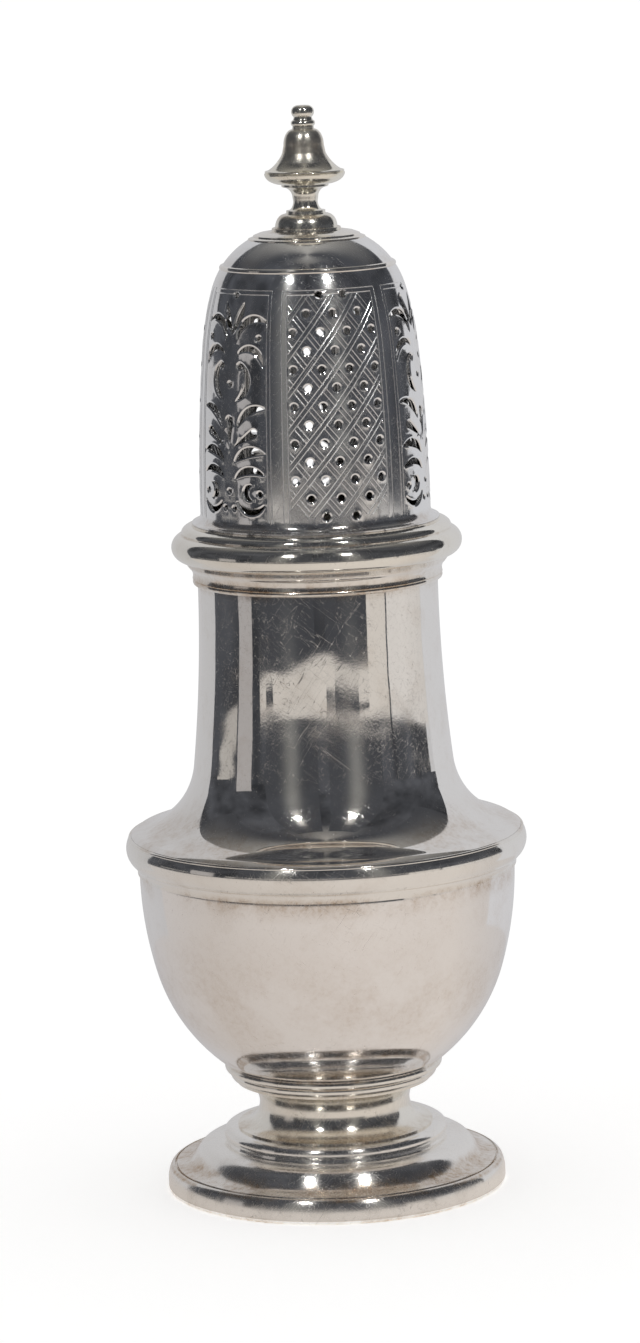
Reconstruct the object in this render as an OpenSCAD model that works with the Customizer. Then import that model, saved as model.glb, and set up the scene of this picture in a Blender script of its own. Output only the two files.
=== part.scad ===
// Silver sugar caster with a pierced cover that lifts off.
// Millimetres, Z up. The foot wire stands on z = 0 and -Y is the front.

/* [Foot] */
// Diameter of the wire that the caster stands on
foot_d = 56.6; // [50:0.2:64]
// Height of the foot wire
foot_wire_h = 4.1; // [3.2:0.1:6]
// Width of the foot wire's section
foot_wire_w = 2.6; // [2.2:0.1:4]
// Height of the foot wire's rounded face
foot_wire_round = 2.6; // [1.6:0.1:3]
// How far the rounded face draws in at the top
foot_wire_in = 1.15; // [0.8:0.05:1.6]
// Sheet thickness of the foot
foot_t = 0.9; // [0.7:0.05:1.4]
// Rise of the foot skirt to its step
skirt_h = 3.8; // [3:0.1:6]
// Diameter across the rounded step
step_d = 37.4; // [34:0.2:42]
// Height of the rounded step
step_h = 2.3; // [1.8:0.1:3]
// Height of the coved spool
spool_h = 8.1; // [7:0.1:11]
// Diameter of the spool's waist
waist_d = 25.1; // [23:0.1:27]

/* [Bowl] */
// Height of the reeded collar under the bowl
collar_h = 3; // [2.6:0.1:4]
// How far the collar's seat stands out from the spool, on the radius
collar_out = 1.7; // [1.2:0.1:2.2]
// Diameter of the bowl at its mouth
bowl_d = 62.4; // [56:0.2:72]
// How much the bowl widens above its round bottom, on the radius
bowl_taper = 1.2; // [0.6:0.1:2]
// Height of the upper curve, above the centre of the round bottom
bowl_rise = 8.6; // [6:0.1:12]
// Height of the upright lip behind the girdle
bowl_lip_h = 5.3; // [4.6:0.1:7]
// Sheet thickness of the bowl and neck
body_t = 0.8; // [0.6:0.05:1.3]

/* [Girdle] */
// How far the girdle stands out from the bowl, on the radius
girdle_w = 2.1; // [1.7:0.1:3]
// Height of the girdle's rounded part
girdle_h = 4.2; // [3.6:0.1:5]
// Height of the cove below the rounded part
girdle_cove_h = 2; // [1.5:0.1:2.6]

/* [Neck] */
// Outer diameter of the neck at the mouth
neck_d = 39.6; // [37:0.2:40.6]
// Height of the neck above the seam with the bowl
neck_h = 46.4; // [40:0.2:56]
// Height of the straight part at the mouth
neck_straight_h = 3.7; // [2:0.1:6]
// Radius of the flare above the girdle
flare_r = 12.5; // [10:0.1:13]
// Height of the mouth wire
mouth_wire_h = 4; // [3:0.1:5]
// How far the mouth wire stands out from the neck
mouth_wire_w = 1.65; // [1.3:0.05:2]

/* [Cover] */
// Depth of the bezel in the neck
bezel_depth = 10; // [6:0.2:16]
// Sheet thickness of the bezel
bezel_t = 0.7; // [0.5:0.05:1]
// Radial clearance of the bezel in the neck
bezel_gap = 0.1; // [0.05:0.01:0.1]
// How far the cover's collar stands out from the mouth wire, on the radius
cover_out = 2.5; // [1.8:0.1:4]
// Height of the collar's rounded part
cover_torus_h = 4.4; // [3.8:0.1:5]
// Height of the collar's upper step
cover_step_h = 1.7; // [1.4:0.1:2.2]
// Diameter of the dome at its base
dome_d = 37.9; // [37.5:0.1:39]
// Sheet thickness of the dome
dome_t = 0.8; // [0.6:0.05:1.1]
// Radius of the cove at the foot of the dome
dome_cove_r = 1.4; // [1:0.1:1.6]
// Height of the dome's drum, where the panels are
drum_h = 27; // [22:0.2:34]
// Lean of the drum at its top
drum_lean = 5.43; // [3:0.1:7]
// Height of the shoulder above the drum
shoulder_h = 9.6; // [8:0.1:12]
// Lean of the shoulder at its top
shoulder_lean = 16.1; // [12:0.1:20]
// Height of the crown above the shoulder
crown_h = 9.7; // [8.6:0.1:10.6]
// Height of the reed above the shoulder
reed_z = 3.7; // [2:0.1:5]
// Radius of the reed wire
reed_r = 0.55; // [0.4:0.05:0.8]
// Diameter of the crown plate under the finial
crown_plate_d = 19.2; // [15:0.2:20]
// Height of the crown plate
crown_plate_h = 1.4; // [1:0.1:2]

/* [Piercing] */
// Azimuth of the first lattice panel
panel_turn = -77; // [-180:1:180]
// Diameter of the lattice holes
lattice_hole_d = 1.2; // [0.8:0.05:1.6]
// Rows of lattice holes
lattice_rows = 13; // [9:2:15]
// Height between rows
lattice_pitch = 2.96; // [2.4:0.02:3.1]
// Angle between the holes of a row
lattice_angle = 14.8; // [12:0.1:15]
// Height of the lowest row above the collar
lattice_z = 2.75; // [2.7:0.05:4]
// Size of the foliage, as a factor on its drawn outline
leaf_scale = 1; // [0.9:0.02:1.05]

/* [Finial] */
// Diameter of the finial's pedestal
pedestal_d = 11.3; // [10:0.1:12]
// Height of the pedestal with its neck
pedestal_h = 7.4; // [6.6:0.1:9]
// Diameter of the pedestal's neck
finial_neck_d = 4; // [3.4:0.1:5]
// Diameter of the bell's flange
bell_d = 13.2; // [12:0.1:15]
// Height of the bell
bell_h = 9.3; // [8.4:0.1:11]
// Diameter of the button's lower ring
button_d = 4; // [3.6:0.1:5]
// Height of the ring and button
button_h = 3.5; // [3.2:0.05:4.4]
// Diameter of the pegs that join the finial
peg_d = 2.4; // [2:0.1:2.8]
// Length of the pegs
peg_l = 2.2; // [1.6:0.1:2.6]
// Solder gap round pegs and lips
solder_gap = 0.02; // [0.01:0.01:0.05]

/* [Hidden] */
$fn = 96;
// Heights of the seams, from the foot up
z_skirt = foot_wire_h + skirt_h;
z_step = z_skirt + step_h;
z_spool = z_step + spool_h;
z_collar = z_spool + collar_h;
// Foot
foot_r = foot_d / 2;
foot_chamfer = 0.35;
skirt_r = foot_r - foot_wire_in;
ledge_share = 0.35;
step_bead = step_h / 2;
step_ledge_r = step_d / 2 + 0.7;
spool_land = 0.3;
spool_seat = 0.85;
cove_r = spool_h / 2 - spool_land;
spool_r = waist_d / 2 + cove_r;
step_in_r = spool_r - spool_seat;
// Bowl: a round bottom on the axis, then a flatter arc up to the lip
bowl_r = bowl_d / 2;
round_r = bowl_r - bowl_taper;
seat_out_r = spool_r + collar_out;
seat_in_r = seat_out_r - 1.4;
seat_out_a = -acos(seat_out_r / round_r);
seat_in_a = -acos(seat_in_r / round_r);
z_round = z_collar + sqrt(round_r ^ 2 - seat_out_r ^ 2);
z_lip = z_round + bowl_rise;
side_r = (bowl_r ^ 2 + bowl_rise ^ 2 - round_r ^ 2) / (2 * bowl_taper);
side_a = -atan2(bowl_rise, side_r - bowl_r);
z_seam = z_lip + bowl_lip_h;
// Girdle
girdle_r = bowl_r + girdle_w;
girdle_edge = girdle_w * 0.357;
girdle_arc = (girdle_h ^ 2 / 4 + girdle_edge ^ 2) / (2 * girdle_edge);
z_girdle = z_seam + 1.1 - girdle_h;
shoulder_r = girdle_r - girdle_edge - 0.15;
// Neck: a flare from the girdle that runs on into one long arc up to the mouth
neck_r = neck_d / 2;
bore_r = neck_r - body_t;
z_mouth = z_seam + neck_h;
z_straight = z_mouth - neck_straight_h;
flare_end = 79;
flare_end_r = shoulder_r - 0.85;
z_flare = z_seam + 1.75;
flare_c = [flare_end_r + flare_r * cos(flare_end), z_flare + flare_r * sin(flare_end)];
flare_start = 2 * atan((flare_c[0] - neck_r - flare_r) / (z_straight - flare_c[1]));
long_r = (flare_c[0] - flare_r * cos(flare_start) - neck_r) / (1 - cos(flare_start));
// Mouth and cover seat
mouth_lip = 0.5;
z_seat = z_mouth + mouth_lip;
mouth_r = neck_r + mouth_wire_w;
bezel_r = bore_r - bezel_gap;
z_torus = z_seat + cover_torus_h;
z_dome = z_torus + cover_step_h;
collar_r = mouth_r + cover_out;
z_bezel = z_seat + 3.3;
// Dome: three arcs that run into each other
dome_r = dome_d / 2;
dome_in_r = dome_r - dome_t;
dome_edge = 0.25;
z_drum = z_dome + dome_edge + dome_cove_r;
drum_arc = drum_h / sin(drum_lean);
drum_c = [dome_r - drum_arc, z_drum];
shoulder_arc = shoulder_h / (sin(shoulder_lean) - sin(drum_lean));
shoulder_c = drum_c + (drum_arc - shoulder_arc) * [cos(drum_lean), sin(drum_lean)];
crown_arc = crown_h / (1 - sin(shoulder_lean));
crown_c = shoulder_c + (shoulder_arc - crown_arc) * [cos(shoulder_lean), sin(shoulder_lean)];
crown_r = crown_plate_d / 2;
z_crown = crown_c[1] + sqrt(crown_arc ^ 2 - (crown_r - crown_c[0]) ^ 2);
z_pedestal = z_crown + crown_plate_h;
z_bell = z_pedestal + pedestal_h;
z_button = z_bell + bell_h;
// Colours
polished = [0.86, 0.85, 0.82];
bright = [0.91, 0.9, 0.87];

// Points of an arc, from one angle to another; first = 1 leaves out the point it starts on
function arc(c, r, a0, a1, n, first = 0) =
    [for (i = [first:n]) let (a = a0 + (a1 - a0) * i / n) c + r * [cos(a), sin(a)]];

// A list of points in the other order
function flip(p) = [for (i = [len(p) - 1:-1:0]) p[i]];

// Points moved square to their outline by t, to the left of its direction
function inset(p, t) = [
    for (i = [0:len(p) - 1])
        let (d = p[min(i + 1, len(p) - 1)] - p[max(i - 1, 0)])
        p[i] + t * [-d[1], d[0]] / norm(d)
];

// Ogee of the foot skirt, from the wire to the step: a sloping ledge, a riser and a second ledge
function ogee() = [
    for (i = [0:20])
        let (t = i / 20)
        let (riser = t ^ 4 / (t ^ 4 + (1 - t) ^ 4))
        [
            skirt_r + (step_ledge_r - skirt_r) * t,
            foot_wire_h + skirt_h * (ledge_share * t + (1 - ledge_share) * riser)
        ]
];

// Section line of the bowl, t inside its outer face; the collar's seat is one straight step in it
function bowl_line(t) = concat(
    arc([0, z_round], round_r - t, -90, seat_in_a, 8),
    arc([0, z_round], round_r - t, seat_out_a, side_a, 10),
    arc([bowl_r - side_r, z_lip], side_r - t, side_a, 0, 6, 1),
    [[bowl_r - t, z_seam]]
);

// Section line of the neck, t inside its outer face
function neck_line(t) = concat(
    arc(flare_c, flare_r + t, 180 + flare_end, 180 + flare_start, 14),
    arc([neck_r + long_r, z_straight], long_r + t, 180 + flare_start, 180, 8, 1),
    [[neck_r - t, z_mouth]]
);

// Section line of the dome, t inside its outer face
function dome_line(t) = concat(
    arc(drum_c, drum_arc - t, 0, drum_lean, 4),
    arc(shoulder_c, shoulder_arc - t, drum_lean, shoulder_lean, 4, 1),
    arc(crown_c, crown_arc - t, shoulder_lean, 86, 12, 1)
);

// Section between two heights
module slice(z0, z1) {
    intersection() {
        children();
        translate([0, z0])
            square([100, z1 - z0]);
    }
}

// Moulded wire under the foot
module foot_wire() {
    low = foot_wire_h - foot_wire_round;
    color(polished)
        rotate_extrude()
            polygon(concat(
                [[foot_r - foot_wire_w, 0], [foot_r - foot_chamfer, 0], [foot_r, foot_chamfer]],
                [for (a = [0:10:90]) [skirt_r + foot_wire_in * cos(a), low + foot_wire_round * sin(a)]],
                [[foot_r - foot_wire_w, foot_wire_h]]
            ));
}

// Spun foot: an ogee, a ledge and a rounded step with a flange turned in for the spool
module foot_skirt() {
    bead_c = [step_d / 2 - step_bead, z_skirt + step_bead];
    color(polished)
        rotate_extrude()
            slice(foot_wire_h, z_step)
                polygon(concat(
                    ogee(),
                    [[step_d / 2 - 0.2, z_skirt]],
                    arc(bead_c, step_bead, -40, 90, 8),
                    [
                        [step_in_r, z_step],
                        [step_in_r, z_step - foot_t],
                        [bead_c[0] - 0.2, z_step - foot_t],
                        [bead_c[0] - 0.2, z_skirt - foot_t / 2]
                    ],
                    flip(inset(ogee(), foot_t))
                ));
}

// Coved spool between foot and bowl
module foot_spool() {
    color(bright)
        rotate_extrude()
            slice(z_step, z_spool)
                intersection() {
                    translate([spool_r, (z_step + z_spool) / 2])
                        difference() {
                            circle(cove_r + foot_t);
                            circle(cove_r);
                        }
                    square([spool_r, z_spool]);
                }
}

// Two-reed ring that carries the bowl on the spool
module bowl_collar() {
    low_r = collar_h * 0.3;
    high_r = collar_h * 0.24;
    seat_in = [0, z_round] + round_r * [cos(seat_in_a), sin(seat_in_a)];
    seat_out = [seat_out_r, z_collar];
    in_r = seat_in_r - 1.4;
    color(polished)
        rotate_extrude()
            polygon(concat(
                [[in_r, z_spool], [spool_r, z_spool]],
                arc([seat_out_r - 1.65, z_spool + low_r + 0.1], low_r, -60, 45, 8),
                arc([seat_out_r - 0.55, z_collar - high_r], high_r, -100, 60, 8),
                [seat_out, seat_in, [in_r, z_spool + 0.6]]
            ));
}

// Raised bowl with a round bottom
module bowl() {
    color(polished)
        rotate_extrude()
            polygon(concat(bowl_line(0), flip(bowl_line(body_t))));
}

// Moulded wire over the seam of bowl and neck, with a rebate for the neck's edge
module girdle() {
    half = atan2(girdle_h / 2, girdle_arc - girdle_edge);
    mid = [girdle_r - girdle_arc, z_girdle + girdle_h / 2];
    bead_r = girdle_h * 0.07;
    foot = [bowl_r + girdle_w * 0.14, z_girdle - girdle_cove_h];
    cove_mid = [bowl_r + girdle_w * 0.26, z_girdle - girdle_cove_h * 0.55];
    cove_end = [bowl_r + girdle_w * 0.4, z_girdle - girdle_cove_h * 0.15];
    cove_top = [bowl_r + girdle_w * 0.48, z_girdle];
    color(polished)
        rotate_extrude()
            polygon(concat(
                [[bowl_r + solder_gap, foot[1]], foot, cove_mid, cove_end, cove_top],
                arc(mid, girdle_arc, -half, half - 9, 10),
                arc([shoulder_r + 0.15, z_girdle + girdle_h - bead_r], bead_r, -30, 90, 5),
                [
                    [shoulder_r + solder_gap, z_girdle + girdle_h],
                    [shoulder_r + solder_gap, z_seam],
                    [bowl_r + solder_gap, z_seam]
                ]
            ));
}

// Raised neck, thickened at its lower edge where it is soldered to the bowl and girdle
module neck() {
    edge = [shoulder_r, z_seam + 1.15];
    outline = concat([edge], neck_line(0));
    seam_in_r = bowl_r - body_t - 0.6;
    color(polished)
        rotate_extrude()
            slice(z_seam, z_mouth)
                union() {
                    polygon(concat(outline, flip(neck_line(body_t))));
                    polygon([
                        [seam_in_r, z_seam],
                        [shoulder_r, z_seam],
                        edge,
                        neck_line(0)[0],
                        neck_line(body_t / 2)[2]
                    ]);
                }
}

// Moulded wire round the mouth, with a lip over the neck's edge
module mouth_wire() {
    low = z_seat - mouth_wire_h;
    color(polished)
        rotate_extrude()
            polygon([
                [neck_r + solder_gap, low],
                [neck_r + 0.25, low],
                [neck_r + mouth_wire_w * 0.36, low + mouth_wire_h * 0.12],
                [neck_r + mouth_wire_w * 0.52, low + mouth_wire_h * 0.3],
                [neck_r + mouth_wire_w * 0.64, low + mouth_wire_h * 0.55],
                [neck_r + mouth_wire_w * 0.68, low + mouth_wire_h * 0.74],
                [mouth_r - 0.1, low + mouth_wire_h * 0.84],
                [mouth_r, low + mouth_wire_h * 0.9],
                [mouth_r, z_seat],
                [bore_r, z_seat],
                [bore_r, z_mouth],
                [neck_r + solder_gap, z_mouth]
            ]);
}

// Sleeve under the cover that slips into the neck
module bezel() {
    color(bright)
        rotate_extrude()
            translate([bezel_r - bezel_t, z_seat - bezel_depth])
                square([bezel_t, z_bezel - z_seat + bezel_depth]);
}

// Moulded ring at the base of the cover; the bezel butts up to a ledge inside it
module cover_collar() {
    torus_r = cover_torus_h / 2;
    torus_c = [collar_r - torus_r, z_seat + torus_r];
    step_r = dome_r + dome_cove_r + 0.15;
    line_r = torus_c[0] + torus_r * cos(72);
    in_r = bezel_r - bezel_t;
    ovolo = arc([step_r - 0.2, z_torus + 0.1], 1, 0, 90, 6);
    color(polished)
        rotate_extrude()
            polygon(concat(
                [[bezel_r + solder_gap, z_seat], [torus_c[0] + torus_r * cos(80), z_seat]],
                arc(torus_c, torus_r, -75, 72, 16),
                [[line_r - 0.1, z_torus], [line_r - 0.1, z_torus + 0.15]],
                [for (p = ovolo) [step_r + (p[0] - step_r + 0.2) * (line_r - 0.2 - step_r),
                    z_torus + 0.2 + (p[1] - z_torus - 0.1) * (cover_step_h - 0.5)]],
                [[step_r, z_dome], [in_r, z_dome], [in_r, z_bezel], [bezel_r + solder_gap, z_bezel]]
            ));
}

// Places a piercing on the dome: a degrees from the panel's axis, z above the collar
module pierce(a, z) {
    rotate([0, 0, a])
        translate([dome_r - 7, 0, z_dome + z])
            rotate([90, 0, 90])
                linear_extrude(height = 12)
                    children();
}

// Leaf between two arcs on one chord: its length, its rise and how far the hollow side rises
module leaf(length, rise, hollow, turn) {
    half = length * leaf_scale / 2;
    outer_r = (half ^ 2 + rise ^ 2) / (2 * rise);
    inner_r = (half ^ 2 + hollow ^ 2) / (2 * hollow);
    rotate(turn)
        difference() {
            translate([0, rise - outer_r])
                circle(outer_r, $fn = 64);
            translate([0, hollow - inner_r])
                circle(inner_r, $fn = 64);
        }
}

// Lens-shaped leaf: its length and how far it swells on either side of its chord
module lens(length, above, below, turn) {
    half = length * leaf_scale / 2;
    above_r = (half ^ 2 + above ^ 2) / (2 * above);
    below_r = (half ^ 2 + below ^ 2) / (2 * below);
    rotate(turn)
        intersection() {
            translate([0, above - above_r])
                circle(above_r, $fn = 64);
            translate([0, below_r - below])
                circle(below_r, $fn = 64);
        }
}

// Drop with a round head and a point below it
module drop(length, head_r) {
    a = asin(head_r / (length - head_r));
    union() {
        circle(head_r, $fn = 32);
        polygon([
            head_r * [cos(a), -sin(a)],
            [0, head_r - length],
            head_r * [-cos(a), -sin(a)]
        ]);
    }
}

// Round hole
module eye(d) {
    circle(d = d * leaf_scale, $fn = 32);
}

// One half of a foliate panel, on the side given by s: scrolls above, then leaves down to the boat
module foliage_half(s) {
    side = [s > 0 ? 0 : 1, 0];
    pierce(s * 14, 32.45) mirror(side) leaf(6.3, 2.55, 1.4, 25.8);
    pierce(s * 18.5, 31.45) eye(0.9);
    pierce(s * 13.2, 27.95) mirror(side) leaf(5.2, 2.3, 1.3, -20.3);
    pierce(s * 6.7, 26.95) eye(1);
    pierce(s * 5.9, 24.5) mirror(side) leaf(6.3, 2.4, 1.2, -96);
    pierce(s * 14.4, 18.7) mirror(side) leaf(6.15, 1.72, 0.57, 30);
    pierce(s * 15.8, 16.3) mirror(side) rotate(-60) drop(5.4, 0.65);
    pierce(s * 12.9, 12.2) mirror(side) leaf(6.1, 1.75, 0.25, 14);
    pierce(s * 12.9, 9.15) mirror(side) leaf(5.7, 1.63, 0.5, 6);
    pierce(s * 14.5, 6.6) mirror(side) leaf(2.5, 1.8, 0.8, 90);
    pierce(s * 18.9, 6.45) eye(0.9);
    pierce(s * 13.6, 4.95) mirror(side) leaf(5.3, 2, 1.1, 177);
    pierce(s * 3.2, 3.95) eye(0.8);
}

// Foliate panel, alike on both sides of its axis, with the calyx and plume on it
module foliage_panel() {
    pierce(0, 38.2) eye(0.9);
    pierce(3.4, 34.5) lens(5.4, 0.3, 0.75, 66);
    pierce(-3.4, 34.5) lens(5.4, 0.75, 0.3, 114);
    pierce(0, 24) eye(0.85);
    pierce(0, 18.1) drop(5.2, 0.75);
    pierce(0, 6.7) eye(0.8);
    for (s = [-1, 1])
        foliage_half(s);
}

// Lattice panel: rows of holes, three and four by turns, with two in the end rows
module lattice_panel() {
    for (row = [0:lattice_rows - 1]) {
        end = row == 0 || row == lattice_rows - 1;
        count = row % 2 == 1 ? 3 : end ? 2 : 4;
        for (i = [0:count - 1])
            pierce((i - (count - 1) / 2) * lattice_angle, lattice_z + row * lattice_pitch)
                circle(d = lattice_hole_d, $fn = 32);
    }
}

// Pierced cover: cove, drum with six panels, shoulder and crown
module pierced_dome() {
    cove_c = [dome_r + dome_cove_r, z_drum];
    color(polished)
        difference() {
            rotate_extrude()
                slice(z_dome, z_crown)
                    polygon(concat(
                        [[dome_in_r, z_dome], [cove_c[0], z_dome]],
                        arc(cove_c, dome_cove_r, 270, 180, 5),
                        [for (i = [1:len(dome_line(0)) - 1]) dome_line(0)[i]],
                        flip(dome_line(dome_t))
                    ));
            for (k = [0:2]) {
                rotate([0, 0, panel_turn + k * 120])
                    lattice_panel();
                rotate([0, 0, panel_turn + 60 + k * 120])
                    foliage_panel();
            }
        }
}

// Half-round wire soldered round the shoulder of the dome
module dome_reed() {
    a = asin((shoulder_c[1] + shoulder_arc * sin(shoulder_lean) + reed_z - crown_c[1]) / crown_arc);
    color(bright)
        rotate_extrude()
            difference() {
                translate(crown_c + crown_arc * [cos(a), sin(a)])
                    circle(reed_r, $fn = 32);
                polygon(concat([[0, z_drum]], dome_line(0), [[0, z_pedestal]]));
            }
}

// Disc that closes the dome, with a fine edge and a flat for the pedestal
module crown_plate() {
    hole_r = peg_d / 2 + solder_gap;
    color(polished)
        rotate_extrude()
            polygon([
                [hole_r, z_crown],
                [crown_r, z_crown],
                [crown_r, z_crown + 0.2],
                [crown_r - 0.85, z_crown + 0.5],
                [crown_r - 0.95, z_crown + 0.75],
                [crown_r - 1.9, z_crown + 1.1],
                [pedestal_d / 2 + 0.5, z_pedestal - 0.05],
                [pedestal_d / 2 + 0.2, z_pedestal],
                [hole_r, z_pedestal]
            ]);
}

// Waisted base of the finial: a ring, a rounded tier, a fillet and a cove, with a peg at either end
module finial_pedestal() {
    base_r = pedestal_d / 2;
    neck = finial_neck_d / 2;
    ring_h = pedestal_h * 0.06;
    tier_r = pedestal_h * 0.115;
    tier_c = [base_r * 0.8 - tier_r, z_pedestal + ring_h + tier_r];
    fillet_r = neck + 1.2;
    z_fillet = tier_c[1] + tier_r;
    fillet_h = pedestal_h * 0.05;
    cove = [fillet_r - 0.2 - neck, pedestal_h * 0.28];
    top_r = neck + 1.85;
    flare = top_r - neck - 0.1;
    color(bright)
        rotate_extrude()
            polygon(concat(
                [
                    [0, z_pedestal - peg_l],
                    [peg_d / 2, z_pedestal - peg_l],
                    [peg_d / 2, z_pedestal],
                    [base_r, z_pedestal],
                    [base_r, z_pedestal + ring_h * 0.6],
                    [base_r - ring_h * 0.4, z_pedestal + ring_h]
                ],
                arc(tier_c, tier_r, -60, 75, 10),
                [[fillet_r, z_fillet], [fillet_r, z_fillet + fillet_h]],
                [for (a = [270:-15:180]) [neck + cove[0], z_fillet + fillet_h + cove[1]]
                    + [cove[0] * cos(a), cove[1] * sin(a)]],
                arc([top_r, z_bell - 0.4 - flare], flare, 180, 95, 8),
                [
                    [top_r, z_bell - 0.35],
                    [top_r, z_bell],
                    [peg_d / 2, z_bell],
                    [peg_d / 2, z_bell + peg_l],
                    [0, z_bell + peg_l]
                ]
            ));
}

// Flanged bell of the finial, with sockets for both pegs
module finial_bell() {
    r = bell_d / 2;
    hole_r = peg_d / 2 + solder_gap;
    pin_r = peg_d * 0.35 + solder_gap;
    dish_r = 2;
    top_r = button_d / 2 - 0.25;
    z_flange = z_bell + dish_r;
    hollow = bell_h * 0.28;
    color(bright)
        rotate_extrude()
            polygon(concat(
                [[hole_r, z_bell], [r - dish_r - 0.9, z_bell]],
                arc([r - dish_r, z_flange], dish_r, -80, 0, 8),
                [[r - 0.08, z_flange + 0.3]],
                arc([r - 0.35, z_flange + 0.5 + hollow], hollow, 265, 192, 8),
                arc([top_r, z_button - 2.2], 1.55, 25, 78, 6),
                [
                    [top_r, z_button - 0.45],
                    [top_r, z_button],
                    [pin_r, z_button],
                    [pin_r, z_button - peg_l - solder_gap],
                    [0, z_button - peg_l - solder_gap],
                    [0, z_bell + peg_l + solder_gap],
                    [hole_r, z_bell + peg_l + solder_gap]
                ]
            ));
}

// Ring and button at the tip of the finial
module finial_button() {
    r = button_d / 2;
    pin_r = peg_d * 0.35;
    ball_r = 1.08;
    ring_r = 0.55;
    z_top = z_button + button_h;
    color(bright)
        rotate_extrude()
            polygon(concat(
                [[0, z_button - peg_l], [pin_r, z_button - peg_l], [pin_r, z_button], [r - 0.25, z_button]],
                arc([r - ring_r, z_button + 0.6], ring_r, -60, 70, 8),
                [[r - 0.5, z_button + 1.45], [r - 0.5, z_button + 1.8]],
                arc([r - 0.12 - ball_r, z_top - ball_r], ball_r, -48, 90, 10),
                [[0, z_top]]
            ));
}

foot_wire();
foot_skirt();
foot_spool();
bowl_collar();
bowl();
girdle();
neck();
mouth_wire();
bezel();
cover_collar();
pierced_dome();
dome_reed();
crown_plate();
finial_pedestal();
finial_bell();
finial_button();
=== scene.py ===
# Silver sugar caster with a pierced cover that lifts off.
# Metres, Z up, the foot on z = 0 and the front towards -Y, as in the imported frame.
# Sizes in the sections are millimetres, as a silversmith would note them.

import math

import bpy
import numpy as np
from mathutils import Matrix, Vector
from mathutils.geometry import delaunay_2d_cdt


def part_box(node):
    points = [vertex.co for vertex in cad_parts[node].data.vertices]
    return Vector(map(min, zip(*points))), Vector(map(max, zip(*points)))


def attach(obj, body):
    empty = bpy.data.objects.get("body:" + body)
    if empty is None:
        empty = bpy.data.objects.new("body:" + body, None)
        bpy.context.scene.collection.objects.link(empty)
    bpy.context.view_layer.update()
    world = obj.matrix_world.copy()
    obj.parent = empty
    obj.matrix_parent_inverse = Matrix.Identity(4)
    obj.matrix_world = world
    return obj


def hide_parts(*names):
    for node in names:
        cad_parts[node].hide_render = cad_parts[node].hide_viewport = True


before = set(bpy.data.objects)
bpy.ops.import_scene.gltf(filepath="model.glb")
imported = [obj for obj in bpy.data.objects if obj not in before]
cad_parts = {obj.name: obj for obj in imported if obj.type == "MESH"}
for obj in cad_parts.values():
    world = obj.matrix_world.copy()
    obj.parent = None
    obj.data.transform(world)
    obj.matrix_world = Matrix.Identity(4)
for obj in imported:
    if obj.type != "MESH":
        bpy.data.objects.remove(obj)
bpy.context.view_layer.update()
bpy.context.scene.view_settings.view_transform = "Standard"


# Foot wire
# The drawn wire of sterling silver that the caster stands on, flat below and rounded above,
# bent to a ring and soldered under the edge of the spun foot.


def extent(node):
    """Radius, lower and upper height of a turned solid."""
    low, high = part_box(node)
    return high.x * 1000, low.z * 1000, high.z * 1000


def arc(centre_r, centre_z, radius, start, end):
    """Points of an arc from one angle to another, in degrees, a quarter of a millimetre apart."""
    steps = max(6, round(math.radians(abs(end - start)) * radius / 0.25))
    angles = [math.radians(start + (end - start) * i / steps) for i in range(steps + 1)]
    return [(centre_r + radius * math.cos(a), centre_z + radius * math.sin(a)) for a in angles]


def turn(name, outline, grain=0.6, steps=192):
    """Draws an outline of radius and height point by point, and spins it about the axis."""
    points = [Vector((r, 0, z)) / 1000 for r, z in outline]
    if outline[0][0] > 0 or outline[-1][0] > 0:
        points.append(points[0])
    bpy.ops.object.select_all(action="DESELECT")
    bpy.ops.mesh.primitive_plane_add(size=0.001, location=(0, 0, 0))
    piece = bpy.context.object
    piece.name = piece.data.name = name
    bpy.ops.object.mode_set(mode="EDIT")
    bpy.ops.mesh.merge(type="CENTER")
    bpy.ops.transform.translate(value=points[0])
    for start, end in zip(points, points[1:]):
        cuts = max(1, round((end - start).length * 1000 / grain))
        for _ in range(cuts):
            bpy.ops.mesh.extrude_vertices_move(TRANSFORM_OT_translate={"value": (end - start) / cuts})
    bpy.ops.mesh.select_all(action="SELECT")
    bpy.ops.mesh.remove_doubles(threshold=1e-6)
    bpy.ops.mesh.spin(steps=steps, angle=2 * math.pi, center=(0, 0, 0), axis=(0, 0, 1))
    bpy.ops.mesh.select_all(action="SELECT")
    bpy.ops.mesh.remove_doubles(threshold=1e-6)
    bpy.ops.mesh.normals_make_consistent(inside=False)
    bpy.ops.object.mode_set(mode="OBJECT")
    bpy.ops.object.shade_smooth_by_angle(angle=math.radians(28))
    return piece


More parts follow.
